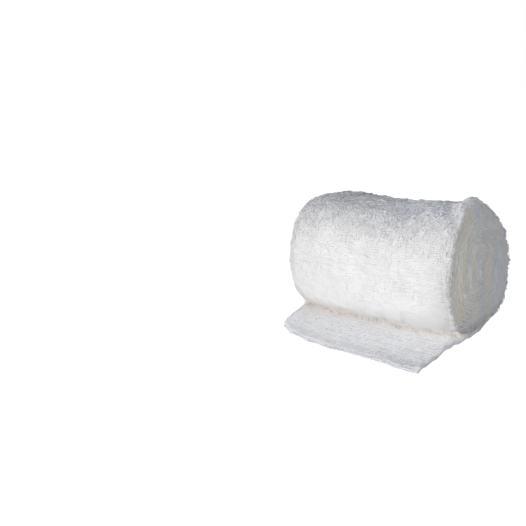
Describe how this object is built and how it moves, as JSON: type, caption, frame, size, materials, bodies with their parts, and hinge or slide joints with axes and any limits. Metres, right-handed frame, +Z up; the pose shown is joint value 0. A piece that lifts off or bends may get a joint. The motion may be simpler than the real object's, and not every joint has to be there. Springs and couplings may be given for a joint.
{
  "type": "gauze bandage roll",
  "caption": "Soft white fluffed cotton gauze bandage wound into a roll, lying on its side with its loose end drawn out flat in front.",
  "frame": {"origin": "on the floor at the middle of the strip's underside, below the roll", "axes": "+X along the roll's axis, -Y towards the cut end of the loose strip, +Z up"},
  "size_m": [0.08, 0.0776, 0.052],
  "materials": {
    "gauze": "matt, fluffy, open crinkled weave"
  },
  "bodies": {
    "root": {"wound_roll": "gauze", "loose_end": "gauze"}
  },
  "joints": []
}
